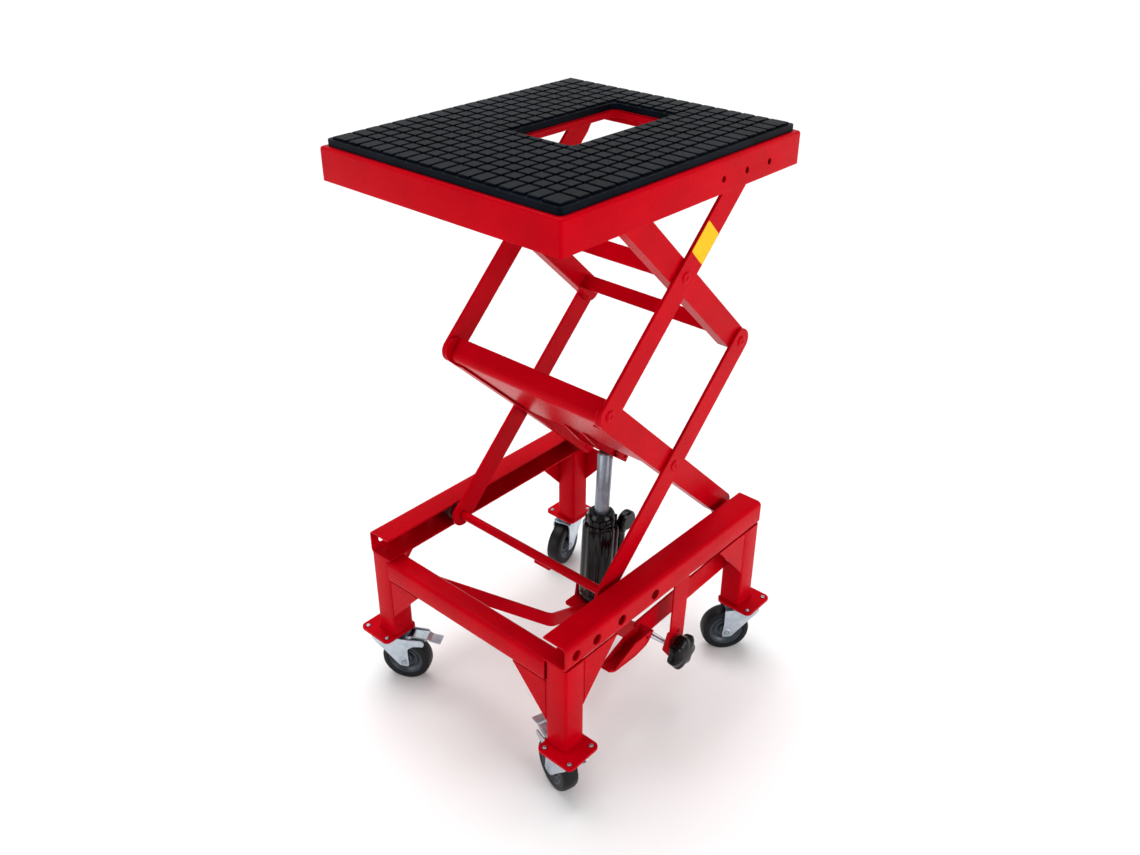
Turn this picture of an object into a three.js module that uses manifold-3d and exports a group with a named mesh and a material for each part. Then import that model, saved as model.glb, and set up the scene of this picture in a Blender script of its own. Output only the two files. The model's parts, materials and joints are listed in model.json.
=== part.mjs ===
// Scissor lift table on four swivel casters, lifted by a foot-pumped hydraulic jack.
// +X runs towards the fixed-pivot end, +Y is the left side, +Z is up, and the floor is z = 0.

import * as THREE from "three";
import { mergeVertices } from "three/addons/utils/BufferGeometryUtils.js";
import Module from "manifold-3d";

const wasm = await Module();
wasm.setup();

// ---- driving dimensions, mm ----
const gap = 0.3;
const sheet = 3;

// base frame
const baseLength = 460;
const baseWidth = 398;
const railHeight = 40;
const railFlange = 41.5;
const railTop = 286;
const railBottom = railTop - railHeight;
const lockHoleX = [-209, -167, -114, -40];
const lockHoleRadius = 8;
const lockHoleZ = 264;
const legSize = 38;
const plateTop = 98;
const crossbarDrop = 37;
const gussetReach = 64;
const gussetDrop = 72;

// caster plates and casters
const padSize = 64;
const padCentre = [217.7, 192];
const padThickness = 7.8;
const padHoleSpacing = 46;
const trail = 28;
const wheelRadius = 40;
const wheelWidth = 26;
const axleRadius = 5;
const casters = [
  { name: "front_left", sx: -1, sy: 1, heading: -60, brake: true },
  { name: "front_right", sx: -1, sy: -1, heading: 72, brake: true },
  { name: "rear_right", sx: 1, sy: -1, heading: 138, brake: false },
  { name: "rear_left", sx: 1, sy: 1, heading: -167, brake: false },
];

// scissor linkage
const fixedPivotX = 208;
const lowPivotZ = 268;
const armLength = 415;
const armAngle = (44.1 * Math.PI) / 180;
const armRun = armLength * Math.cos(armAngle);
const armRise = armLength * Math.sin(armAngle);
const armWidth = 38;
const armSheet = 5;
const deckEndRadius = 12.4;
const innerArmY = 138;
const outerArmY = innerArmY + armSheet + gap;
const pinRadius = 7;
const slidePinRadius = 8;
const rollerRadius = 14.5;
const rollerY = [160, 184];
const bossRadius = 12;

// deck
const deckX = [-241, 223];
const deckWidth = 401;
const deckTop = 870;
const deckWall = 43;
const deckSheet = 2;
const openingX = [-53, 142];
const openingWidth = 96;
const matInset = 6.5;
const matTop = 881;

// hydraulic jack
const jackFoot = [68, 100];
const clevisPin = [84, 370];
const clevisPinRadius = 6;
const clevisInside = 16;
const jackRadius = 29;
const jackHeight = 138;
const ramRadius = 12;
const knobCentre = [20, -212, 124];

const group = new THREE.Group();

// ---- helpers ----
function toSolid(geometry) {
  const bare = geometry.clone();
  bare.deleteAttribute("uv");
  bare.deleteAttribute("normal");
  const merged = mergeVertices(bare, 1e-4);
  const mesh = new wasm.Mesh({
    numProp: 3,
    vertProperties: new Float32Array(merged.attributes.position.array),
    triVerts: new Uint32Array(merged.index.array),
  });
  return new wasm.Manifold(mesh);
}

function toGeometry(solid) {
  const mesh = solid.getMesh();
  const geometry = new THREE.BufferGeometry();
  const points = new THREE.BufferAttribute(new Float32Array(mesh.vertProperties), 3);
  geometry.setAttribute("position", points);
  geometry.setIndex(new THREE.BufferAttribute(new Uint32Array(mesh.triVerts), 1));
  return geometry;
}

function join(...pieces) {
  return toGeometry(wasm.Manifold.union(pieces.map(toSolid)));
}

function cut(body, ...tools) {
  return toGeometry(toSolid(body).subtract(wasm.Manifold.union(tools.map(toSolid))));
}

function place(name, geometry, colour) {
  const material = new THREE.MeshStandardMaterial({ color: colour, roughness: 0.5 });
  const mesh = new THREE.Mesh(geometry, material);
  mesh.name = name;
  group.add(mesh);
}

const frames = {
  x: [new THREE.Vector3(0, 1, 0), new THREE.Vector3(0, 0, 1), new THREE.Vector3(1, 0, 0)],
  y: [new THREE.Vector3(1, 0, 0), new THREE.Vector3(0, 0, 1), new THREE.Vector3(0, -1, 0)],
  z: [new THREE.Vector3(1, 0, 0), new THREE.Vector3(0, 1, 0), new THREE.Vector3(0, 0, 1)],
};

// An outline in the plane across an axis, swept along that axis between two values.
function prism(shape, axis, from, to, curveSegments = 8) {
  const depth = to - from;
  const geometry = new THREE.ExtrudeGeometry(shape, {
    depth,
    bevelEnabled: false,
    curveSegments,
  });
  geometry.applyMatrix4(new THREE.Matrix4().makeBasis(...frames[axis]));
  const shift = axis === "y" ? to : from;
  const offset = new THREE.Vector3(axis === "x", axis === "y", axis === "z");
  offset.multiplyScalar(shift);
  geometry.translate(offset.x, offset.y, offset.z);
  return geometry;
}

function outline(points) {
  const corners = points.map(([a, b]) => new THREE.Vector2(a, b));
  return new THREE.Shape(THREE.ShapeUtils.isClockWise(corners) ? corners.reverse() : corners);
}

function box(x0, x1, y0, y1, z0, z1) {
  const geometry = new THREE.BoxGeometry(x1 - x0, y1 - y0, z1 - z0);
  geometry.translate((x0 + x1) / 2, (y0 + y1) / 2, (z0 + z1) / 2);
  return geometry;
}

function mirrored(y0, y1, side) {
  return side > 0 ? [y0, y1] : [-y1, -y0];
}

function pinAlongY(x, z, radius, y0, y1, side, segments = 20) {
  const geometry = new THREE.CylinderGeometry(radius, radius, y1 - y0, segments);
  geometry.translate(x, (side * (y0 + y1)) / 2, z);
  return geometry;
}

function roundedSquare(size, radius, cx, cy) {
  const h = size / 2;
  const shape = new THREE.Shape();
  shape.absarc(cx + h - radius, cy + h - radius, radius, 0, Math.PI / 2);
  shape.absarc(cx - h + radius, cy + h - radius, radius, Math.PI / 2, Math.PI);
  shape.absarc(cx - h + radius, cy - h + radius, radius, Math.PI, 1.5 * Math.PI);
  shape.absarc(cx + h - radius, cy - h + radius, radius, 1.5 * Math.PI, 2 * Math.PI);
  return shape;
}

function roundHole(shape, cx, cy, radius) {
  const hole = new THREE.Path();
  hole.absarc(cx, cy, radius, 0, 2 * Math.PI, true);
  shape.holes.push(hole);
}

// ---- base frame ----
const red = 0xc8102e;
const zinc = 0xb8c0c8;
const black = 0x16171a;

function rail(side) {
  const outside = baseWidth / 2;
  const inside = outside - railFlange;
  const profile = outline(
    [
      [outside, railBottom],
      [outside, railTop],
      [inside, railTop],
      [inside, railTop - sheet],
      [outside - sheet, railTop - sheet],
      [outside - sheet, railBottom + sheet],
      [inside, railBottom + sheet],
      [inside, railBottom],
    ].map(([y, z]) => [side * y, z]),
  );
  const channel = prism(profile, "x", -baseLength / 2, baseLength / 2);
  const holes = lockHoleX.map((x) =>
    pinAlongY(x, lockHoleZ, lockHoleRadius, outside - 10, outside + 5, side),
  );
  const boss = pinAlongY(fixedPivotX, lowPivotZ, bossRadius, 168, outside - 1, side);
  const bore = pinAlongY(fixedPivotX, lowPivotZ, slidePinRadius + gap, 160, outside - sheet, side);
  return cut(join(cut(channel, ...holes), boss), bore);
}

function frontCrossbar() {
  const x0 = -baseLength / 2 - 2;
  const y = baseWidth / 2 - legSize - gap;
  const z0 = railBottom - crossbarDrop;
  const bar = box(x0, x0 + 34, -y, y, z0, railBottom - gap);
  const inside = box(x0 + sheet, x0 + 34 - sheet, -y - 1, y + 1, z0 + sheet, railBottom - gap - sheet);
  return cut(bar, inside);
}

function rearCrossmember() {
  const y = baseWidth / 2 - railFlange - gap;
  const web = box(baseLength / 2 - 2.5, baseLength / 2, -y, y, 214, railTop - gap);
  const slots = [227, 240].map((z) => box(220, 240, -62, -52, z - 2.5, z + 2.5));
  return cut(web, ...slots);
}

function leg(sx, sy) {
  const outX = (sx * baseLength) / 2;
  const outY = (sy * baseWidth) / 2;
  const inX = outX - sx * legSize;
  const inY = outY - sy * legSize;
  const top = railBottom - gap;
  const low = plateTop + gap;
  const span = (a, b) => [Math.min(a, b), Math.max(a, b)];
  const tube = box(...span(outX, inX), ...span(outY, inY), low, top);
  const hollow = box(
    ...span(outX - sx * sheet, inX + sx * sheet),
    ...span(outY - sy * sheet, inY + sy * sheet),
    low - 1,
    top + 1,
  );
  const sideShape = outline([
    [inX + sx * 2, top],
    [inX - sx * (gussetReach + 8), top],
    [inX + sx * 2, top - gussetDrop - 8],
  ]);
  const sideGusset = prism(sideShape, "y", ...span(outY, outY - sy * 2.9));
  const endTop = sx < 0 ? railBottom - crossbarDrop - gap : top;
  const endShape = outline([
    [inY + sy * 2, endTop],
    [inY - sy * gussetReach, endTop],
    [inY + sy * 2, endTop - gussetDrop],
  ]);
  const endFace = sx < 0 ? outX : outX - 3;
  const endGusset = prism(endShape, "x", ...span(endFace, endFace - sx * 2.9));
  return join(cut(tube, hollow), sideGusset, endGusset);
}

function casterPad(sx, sy) {
  const [px, py] = [sx * padCentre[0], sy * padCentre[1]];
  const shape = roundedSquare(padSize, 9, px, py);
  const reach = padHoleSpacing / 2;
  for (const [hx, hy] of [[1, 1], [1, -1], [-1, 1]]) {
    roundHole(shape, px + sx * hx * reach, py + sy * hy * reach, 4);
  }
  return prism(shape, "z", plateTop - padThickness, plateTop, 5);
}

for (const side of [1, -1]) {
  place(side > 0 ? "left_rail" : "right_rail", rail(side), red);
}
place("front_crossbar", frontCrossbar(), red);
place("rear_crossmember", rearCrossmember(), red);
for (const { name, sx, sy } of casters) {
  place(`${name}_leg`, leg(sx, sy), red);
  place(`${name}_pad`, casterPad(sx, sy), red);
}

// ---- jack cradle and release bracket ----
// A flat bar standing on edge that follows a bent centre line.
function strap(points, height, thickness) {
  const solids = [];
  for (let i = 0; i + 1 < points.length; i += 1) {
    const [ax, ay, az] = points[i];
    const [bx, by, bz] = points[i + 1];
    const length = Math.hypot(bx - ax, by - ay);
    const [nx, ny] = [((by - ay) / length) * (thickness / 2), ((ax - bx) / length) * (thickness / 2)];
    const corners = [];
    for (const [x, y, z] of [[ax, ay, az], [bx, by, bz]]) {
      for (const side of [-1, 1]) {
        corners.push([x + side * nx, y + side * ny, z - height / 2]);
        corners.push([x + side * nx, y + side * ny, z + height / 2]);
      }
    }
    solids.push(wasm.Manifold.hull(corners));
  }
  return toGeometry(wasm.Manifold.union(solids));
}

function jackSaddle() {
  const [x, z] = jackFoot;
  const plate = box(x - 42, x + 42, -34, 34, z - 22, z - 18);
  const ears = [1, -1].map((side) => {
    const ear = outline([
      [x - 16, z - 20],
      [x + 16, z - 20],
      [x + 12, z + 10],
      [x - 12, z + 10],
    ]);
    return prism(ear, "y", ...mirrored(30, 34, side));
  });
  return join(plate, ...ears);
}

function releaseBracket() {
  const shape = outline([
    [14, railBottom - gap],
    [50, railBottom - gap],
    [42, 112],
    [8, 112],
    [10, 150],
  ]);
  roundHole(shape, knobCentre[0], knobCentre[2], 6);
  return prism(shape, "y", -195, -192);
}

const frontStrap = [[-196.5, 84, 227], [-72, -26, 140], [25.5, -10, 92]];
const sideStrap = [[191.5, -166, 176], [-40, -166, 168], [22.5, -22, 92]];
place("front_cradle_strap", strap(frontStrap, 25, 4), red);
place("side_cradle_strap", strap(sideStrap, 25, 4), red);
place("jack_saddle", jackSaddle(), red);
place("release_bracket", releaseBracket(), red);

// ---- casters ----
// Built with the swivel axis on z and the wheel trailing along +x, then turned and moved.
function toCaster(geometry, { sx, sy, heading }) {
  geometry.rotateZ((heading * Math.PI) / 180);
  geometry.translate(sx * padCentre[0], sy * padCentre[1], 0);
  return geometry;
}

function fork() {
  const crownTop = plateTop - padThickness - gap;
  const crown = new THREE.CylinderGeometry(22, 24, 7, 24);
  crown.rotateX(Math.PI / 2);
  crown.translate(0, 0, crownTop - 3.5);
  const roof = box(-20, 26, -17.4, 17.4, crownTop - 6.8, crownTop - 3.6);
  const cheek = new THREE.Shape();
  cheek.moveTo(-20, crownTop - 4);
  cheek.lineTo(-20, crownTop - 12);
  cheek.lineTo(trail - 11, wheelRadius - 3);
  cheek.absarc(trail, wheelRadius, 11, Math.PI + 0.3, 2 * Math.PI);
  cheek.lineTo(34, crownTop - 12);
  cheek.lineTo(26, crownTop - 4);
  const cheeks = [1, -1].map((side) => prism(cheek, "y", ...mirrored(15, 17.4, side)));
  const axle = pinAlongY(trail, wheelRadius, axleRadius, -19, 19, 1, 16);
  return join(crown, roof, ...cheeks, axle);
}

function wheel() {
  const r = wheelRadius;
  const w = wheelWidth / 2;
  const b = axleRadius + gap;
  const profile = [[b, -w + 1], [14, -w + 1], [15, -w + 4], [26, -w + 4], [27, -w], [r - 5, -w], [r, -w + 4]];
  const mirror = profile.map(([x, y]) => [x, -y]).reverse();
  const ring = [...profile, ...mirror, profile[0]].map(([x, y]) => new THREE.Vector2(x, y));
  const geometry = new THREE.LatheGeometry(ring, 36);
  geometry.translate(trail, 0, wheelRadius);
  return geometry;
}

function brakePedal() {
  const shape = outline([
    [31, 82.4],
    [33, 82.4],
    [74, 86],
    [79, 82],
    [80, 84.5],
    [75, 89],
    [31, 86],
  ]);
  return prism(shape, "y", -13, 13);
}

for (const caster of casters) {
  place(`${caster.name}_fork`, toCaster(fork(), caster), zinc);
  place(`${caster.name}_wheel`, toCaster(wheel(), caster), black);
  if (caster.brake) {
    place(`${caster.name}_brake_pedal`, toCaster(brakePedal(), caster), zinc);
  }
}

// ---- scissor linkage ----
const frontX = fixedPivotX - armRun;
const middleX = fixedPivotX - armRun / 2;
const levels = [lowPivotZ, lowPivotZ + armRise, lowPivotZ + 2 * armRise];

// A round-ended flat arm between two pivots, with holes. Its far end can be narrower.
function arm(from, to, y0, side, holes, endRadius) {
  const [ax, az] = from;
  const [bx, bz] = to;
  const angle = Math.atan2(bz - az, bx - ax);
  const r = armWidth / 2;
  const taper = 30;
  const [sin, cos] = [Math.sin(angle), Math.cos(angle)];
  const shape = new THREE.Shape();
  shape.absarc(bx, bz, endRadius, angle - Math.PI / 2, angle + Math.PI / 2);
  shape.lineTo(bx - taper * cos - r * sin, bz - taper * sin + r * cos);
  shape.absarc(ax, az, r, angle + Math.PI / 2, angle + 1.5 * Math.PI);
  shape.lineTo(bx - taper * cos + r * sin, bz - taper * sin - r * cos);
  for (const [x, z] of holes) {
    roundHole(shape, x, z, pinRadius + gap);
  }
  return prism(shape, "y", ...mirrored(y0, y0 + armSheet, side), 10);
}

// A box laid along an inner arm: distances along it from the first pivot and up from its centre line.
function alongInner(stage, s0, s1, y0, y1, t0, t1) {
  const geometry = box(s0, s1, y0, y1, t0, t1);
  geometry.rotateY(armAngle);
  geometry.translate(frontX, 0, levels[stage + 1]);
  return geometry;
}

function innerArm(stage, side) {
  const front = [frontX, levels[stage + 1]];
  const rear = [fixedPivotX, levels[stage]];
  const middle = [middleX, (levels[stage] + levels[stage + 1]) / 2];
  const holes = stage === 0 ? [front, middle] : [middle, rear];
  const web = arm(front, rear, innerArmY, side, holes, armWidth / 2);
  const flange = alongInner(
    stage,
    12,
    armLength - 12,
    ...mirrored(innerArmY - 16, innerArmY + 2, side),
    -armWidth / 2,
    -armWidth / 2 + 2.5,
  );
  const [px, pz] = stage === 0 ? rear : front;
  const reach = stage === 0 ? baseWidth / 2 - sheet - gap : rollerY[1] + 4;
  const pin = pinAlongY(px, pz, slidePinRadius, innerArmY + 1, reach, side);
  return join(web, flange, pin);
}

function outerArm(stage, side) {
  const front = [frontX, levels[stage]];
  const rear = [fixedPivotX, levels[stage + 1]];
  const middle = [middleX, (levels[stage] + levels[stage + 1]) / 2];
  const web = arm(front, rear, outerArmY, side, [], stage === 0 ? armWidth / 2 : deckEndRadius);
  const inward = stage === 0 ? [middle, rear] : [front, middle];
  const pins = inward.map(([x, z]) =>
    pinAlongY(x, z, pinRadius, innerArmY + gap, outerArmY + armSheet + 2, side),
  );
  const [ox, oz] = stage === 0 ? front : rear;
  const reach = stage === 0 ? rollerY[1] + 4 : deckWidth / 2 - deckSheet - gap;
  const outward = pinAlongY(ox, oz, slidePinRadius, outerArmY + 1, reach, side);
  return join(web, ...pins, outward);
}

function roller(x, z, side) {
  const body = pinAlongY(x, z, rollerRadius, ...rollerY, side, 28);
  const bore = pinAlongY(x, z, slidePinRadius + gap, rollerY[0] - 1, rollerY[1] + 1, side);
  return cut(body, bore);
}

// The folded sheet between the lower inner arms, from their front ends to their middle.
function lowerPanel() {
  const y = innerArmY - gap;
  const panel = alongInner(0, -4, 196, -y, y, -13, -10);
  const lip = alongInner(0, -4, -1, -y, y, -13, 18);
  return join(panel, lip);
}

function jackClevis() {
  const [x, z] = clevisPin;
  const tabs = [1, -1].map((side) => {
    const tab = outline([
      [x - 52, z + 38],
      [x - 45, z + 42],
      [x + 4, z + 12],
      [x + 34, z - 18],
      [x + 26, z - 30],
      [x + 4, z - 12],
    ]);
    return prism(tab, "y", ...mirrored(clevisInside, clevisInside + 4, side));
  });
  const pin = pinAlongY(x, z, clevisPinRadius, -clevisInside - 6, clevisInside + 6, 1, 16);
  return join(...tabs, pin);
}

function tieRod() {
  const y = outerArmY - gap;
  const rod = pinAlongY(frontX, levels[0], 7, -y, y, 1);
  const lug = box(frontX - 3, frontX + 3, -42, -12, levels[0] - 13, levels[0]);
  return join(rod, lug);
}

for (const side of [1, -1]) {
  const hand = side > 0 ? "left" : "right";
  place(`lower_inner_arm_${hand}`, innerArm(0, side), red);
  place(`lower_outer_arm_${hand}`, outerArm(0, side), red);
  place(`upper_inner_arm_${hand}`, innerArm(1, side), red);
  place(`upper_outer_arm_${hand}`, outerArm(1, side), red);
  place(`base_roller_${hand}`, roller(frontX, levels[0], side), black);
  place(`deck_roller_${hand}`, roller(frontX, levels[2], side), black);
}
place("lower_cross_panel", lowerPanel(), red);
place("jack_clevis", jackClevis(), red);
place("lower_tie_rod", tieRod(), red);
const tieY = innerArmY - gap;
place("upper_rear_tie", alongInner(1, armLength - 30, armLength - 27, -tieY, tieY, -10, 13), red);
place("upper_middle_tie", alongInner(1, 196, 199, -tieY, tieY, -12, 13), red);

// ---- hydraulic jack ----
const jackLean = Math.atan2(clevisPin[0] - jackFoot[0], clevisPin[1] - jackFoot[1]);
const jackReach = Math.hypot(clevisPin[0] - jackFoot[0], clevisPin[1] - jackFoot[1]);

function toJack(geometry) {
  geometry.rotateY(jackLean);
  geometry.translate(jackFoot[0], 0, jackFoot[1]);
  return geometry;
}

function jackBody() {
  const b = ramRadius + gap;
  const ring = [
    [0, -14],
    [jackRadius - 4, -14],
    [jackRadius - 1, -10],
    [jackRadius, 0],
    [jackRadius, jackHeight],
    [jackRadius - 5, jackHeight + 6],
    [jackRadius - 5, jackHeight + 14],
    [jackRadius - 9, jackHeight + 18],
    [b, jackHeight + 18],
    [b, 0],
    [0, 0],
  ].map(([x, y]) => new THREE.Vector2(x, y));
  const barrel = new THREE.LatheGeometry(ring, 28);
  barrel.rotateX(Math.PI / 2);
  const pump = new THREE.CylinderGeometry(9, 9, 92, 16);
  pump.rotateX(Math.PI / 2);
  pump.translate(34, -14, 74);
  const knuckle = new THREE.CylinderGeometry(14, 14, 16, 20);
  knuckle.translate(38, -22, 132);
  return toJack(join(barrel, pump, knuckle));
}

function jackRam() {
  const ram = new THREE.CylinderGeometry(ramRadius, ramRadius, 160, 24);
  ram.rotateX(Math.PI / 2);
  ram.translate(0, 0, jackReach - clevisPinRadius - gap - 80);
  return toJack(ram);
}

function releaseKnob() {
  const [x, y, z] = knobCentre;
  const rod = pinAlongY(x, z, 5, 60, -y - 10, -1, 12);
  const lobes = new THREE.Shape();
  const steps = 48;
  for (let i = 0; i < steps; i += 1) {
    const a = (2 * Math.PI * i) / steps;
    const r = 27 + 2.2 * Math.cos(7 * a);
    const [px, pz] = [x + r * Math.cos(a), z + r * Math.sin(a)];
    if (i === 0) {
      lobes.moveTo(px, pz);
    } else {
      lobes.lineTo(px, pz);
    }
  }
  return join(rod, prism(lobes, "y", y - 11, y + 10));
}

function footPedal() {
  const shape = outline([
    [-134, 183],
    [-128, 176],
    [-76, 171],
    [-48, 176],
    [-34, 190],
    [-38, 197],
    [-54, 186],
    [-76, 181],
    [-128, 188],
  ]);
  return prism(shape, "y", -195, -171);
}

place("jack_body", jackBody(), black);
place("jack_ram", jackRam(), zinc);
place("release_knob", releaseKnob(), black);
place("foot_pedal", footPedal(), red);

// ---- deck ----
function deckPlate() {
  const y = deckWidth / 2;
  const shape = outline([[deckX[0], -y], [deckX[1], -y], [deckX[1], y], [deckX[0], y]]);
  shape.holes.push(openingPath(0));
  return prism(shape, "z", deckTop - deckSheet, deckTop);
}

function openingPath(margin) {
  const [x0, x1] = [openingX[0] - margin, openingX[1] + margin];
  const y = openingWidth / 2 + margin;
  const path = new THREE.Path();
  path.setFromPoints([
    new THREE.Vector2(x0, -y),
    new THREE.Vector2(x0, y),
    new THREE.Vector2(x1, y),
    new THREE.Vector2(x1, -y),
  ]);
  path.closePath();
  return path;
}

function deckSide(side) {
  const outside = deckWidth / 2;
  const low = deckTop - deckWall;
  const top = deckTop - deckSheet - gap;
  const wall = box(deckX[0], deckX[1], ...mirrored(outside - deckSheet, outside, side), low, top);
  const foot = box(
    deckX[0] + 10,
    deckX[1] - 10,
    ...mirrored(outside - railFlange, outside - 1, side),
    low,
    low + deckSheet,
  );
  const boss = pinAlongY(fixedPivotX, levels[2], bossRadius, 168, outside - 1, side);
  const reach = outside - deckSheet;
  const bore = pinAlongY(fixedPivotX, levels[2], slidePinRadius + gap, 160, reach, side);
  const holes = [51, 101, 151].map((x) =>
    pinAlongY(x, low + 18, 4, outside - 10, outside + 5, side, 12),
  );
  return cut(join(wall, foot, boss), bore, ...holes);
}

function deckEnd(x0) {
  const y = deckWidth / 2 - deckSheet - gap;
  return box(x0, x0 + deckSheet, -y, y, deckTop - deckWall, deckTop - deckSheet - gap);
}

function rubberMat() {
  const y = deckWidth / 2 - matInset;
  const x0 = deckX[0] + matInset;
  const x1 = deckX[1] - matInset;
  const shape = outline([[x0, -y], [x1, -y], [x1, y], [x0, y]]);
  shape.holes.push(openingPath(2));
  return prism(shape, "z", deckTop + gap, matTop);
}

place("deck_plate", deckPlate(), red);
place("deck_side_left", deckSide(1), red);
place("deck_side_right", deckSide(-1), red);
place("deck_front_skirt", deckEnd(deckX[0]), red);
place("deck_rear_skirt", deckEnd(deckX[1] - deckSheet), red);
place("rubber_mat", rubberMat(), black);

export default group;
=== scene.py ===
import json
import math

import bmesh
import bpy
from mathutils import Matrix, Vector


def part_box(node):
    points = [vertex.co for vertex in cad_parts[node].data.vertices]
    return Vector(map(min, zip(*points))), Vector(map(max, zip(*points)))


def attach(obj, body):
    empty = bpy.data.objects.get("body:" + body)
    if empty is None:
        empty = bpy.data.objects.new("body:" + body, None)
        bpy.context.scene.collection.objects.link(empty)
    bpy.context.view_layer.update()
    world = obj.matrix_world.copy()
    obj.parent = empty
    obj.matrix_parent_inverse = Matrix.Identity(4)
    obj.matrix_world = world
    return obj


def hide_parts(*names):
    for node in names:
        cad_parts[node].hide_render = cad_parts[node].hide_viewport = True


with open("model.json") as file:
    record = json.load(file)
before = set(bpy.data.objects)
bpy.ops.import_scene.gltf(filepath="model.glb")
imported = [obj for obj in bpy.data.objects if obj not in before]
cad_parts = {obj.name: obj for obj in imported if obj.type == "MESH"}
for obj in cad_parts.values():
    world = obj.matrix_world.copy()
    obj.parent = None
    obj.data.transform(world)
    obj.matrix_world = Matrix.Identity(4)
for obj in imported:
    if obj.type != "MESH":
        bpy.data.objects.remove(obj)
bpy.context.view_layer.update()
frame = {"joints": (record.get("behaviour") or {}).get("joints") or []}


# ---- view ----
# A camera above the front right corner, with the whole table in a studio of soft light.
camera_data = bpy.data.cameras.new("camera")
camera_data.lens = 33.94
camera_data.sensor_width = 36
camera = bpy.data.objects.new("camera", camera_data)
bpy.context.scene.collection.objects.link(camera)
right = Vector((0.66506, -0.74678, 0.00378))
up = Vector((0.37488, 0.33823, 0.86317))
back = right.cross(up)
turn = Matrix((right, up, back)).transposed().to_4x4()
camera.matrix_world = Matrix.Translation((-1.01697, -0.90174, 1.23839)) @ turn
bpy.context.scene.camera = camera
bpy.context.scene.view_settings.view_transform = "Standard"


# ---- gloss red paint ----
# Mild steel sprayed and baked with gloss red enamel: a clear even red under a hard shiny skin,
# with a faint orange-peel ripple and a slightly deeper tone where the coat is thicker.
def linear(code):
    channels = [int(code[i:i + 2], 16) / 255 for i in (1, 3, 5)]
    curve = [c / 12.92 if c <= 0.04045 else ((c + 0.055) / 1.055) ** 2.4 for c in channels]
    return (*curve, 1.0)


def add_node(material, kind, inputs=None, **settings):
    node = material.node_tree.nodes.new(kind)
    for key, value in settings.items():
        setattr(node, key, value)
    for key, value in (inputs or {}).items():
        if isinstance(value, bpy.types.NodeSocket):
            material.node_tree.links.new(value, node.inputs[key])
        else:
            node.inputs[key].default_value = value
    return node


def surface(name, shades, gloss, grain_mm, relief_mm, patch_mm, **shader):
    """A material with two close shades in soft patches, a range of roughness and a fine relief."""
    factor, first, second, mixed = 0, 6, 7, 2  # the colour sockets of the mix node
    material = bpy.data.materials.new(name)
    material.use_nodes = True
    tree = material.node_tree
    principled = tree.nodes["Principled BSDF"]
    place = add_node(material, "ShaderNodeTexCoord").outputs["Object"]
    patches = add_node(material, "ShaderNodeTexNoise", {
        "Vector": place, "Scale": 1000 / patch_mm, "Detail": 3.0, "Roughness": 0.55})
    grain = add_node(material, "ShaderNodeTexNoise", {
        "Vector": place, "Scale": 1000 / grain_mm, "Detail": 2.0, "Roughness": 0.5})
    tone = add_node(material, "ShaderNodeMapRange", {
        "Value": patches.outputs["Fac"], "From Min": 0.35, "From Max": 0.65})
    colour = add_node(material, "ShaderNodeMix", {
        factor: tone.outputs["Result"], first: linear(shades[0]), second: linear(shades[1])},
        data_type="RGBA")
    rough = add_node(material, "ShaderNodeMapRange", {
        "Value": grain.outputs["Fac"], "From Min": 0.3, "From Max": 0.7,
        "To Min": gloss[0], "To Max": gloss[1]})
    bump = add_node(material, "ShaderNodeBump", {
        "Height": grain.outputs["Fac"], "Strength": 1.0, "Distance": relief_mm / 1000})
    tree.links.new(colour.outputs[mixed], principled.inputs["Base Color"])
    tree.links.new(rough.outputs["Result"], principled.inputs["Roughness"])
    tree.links.new(bump.outputs["Normal"], principled.inputs["Normal"])
    for key, value in shader.items():
        principled.inputs[key.replace("_", " ")].default_value = value
    return material


# baked red enamel, satin to gloss, with highlights that stay red
red_enamel = surface("red_enamel", ("#AE0010", "#BA0012"), (0.26, 0.34), 2.4, 0.004, 60,
                     Specular_IOR_Level=0.045, Specular_Tint=(1.0, 0.2, 0.26, 1.0))


# ---- side rails ----
# Two channels folded from 3 mm sheet, open inwards, in which the rollers run.
# Four lock holes are punched through the web of each, for the safety pin.
joint_at = {j["name"]: Vector(j["pos_m"]) * 1000 for j in frame["joints"] if "pos_m" in j}


def box_mm(node):
    low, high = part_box(node)
    return low * 1000, high * 1000


def facing(axis, offset, side=1):
    """Places a flat pattern (u, v) with its thickness along an axis, starting at an offset."""
    columns = {"x": ((0, 1, 0), (0, 0, 1), (side, 0, 0)),
               "y": ((1, 0, 0), (0, 0, 1), (0, side, 0)),
               "z": ((1, 0, 0), (0, 1, 0), (0, 0, side))}[axis]
    move = {"x": (offset, 0, 0), "y": (0, offset, 0), "z": (0, 0, offset)}[axis]
    return Matrix.Translation(move) @ Matrix(columns).transposed().to_4x4()


def put(bm, part, place=Matrix.Identity(4)):
    """Moves a made part into place and adds it to a piece."""
    bmesh.ops.transform(part, matrix=place, verts=part.verts)
    bmesh.ops.recalc_face_normals(part, faces=part.faces)
    mesh = bpy.data.meshes.new("part")
    part.to_mesh(mesh)
    part.free()
    bm.from_mesh(mesh)
    bpy.data.meshes.remove(mesh)


sharp_angle = math.radians(38)
bevel_angle = math.radians(40)


def soften_edges(piece, width, rounds):
    """Rounds the corners of a piece a little, so that they catch the light."""
    bevel = piece.modifiers.new("softened_edges", "BEVEL")
    bevel.width = width
    bevel.segments = rounds
    bevel.limit_method = "ANGLE"
    bevel.angle_limit = bevel_angle
    bevel.harden_normals = True


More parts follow.
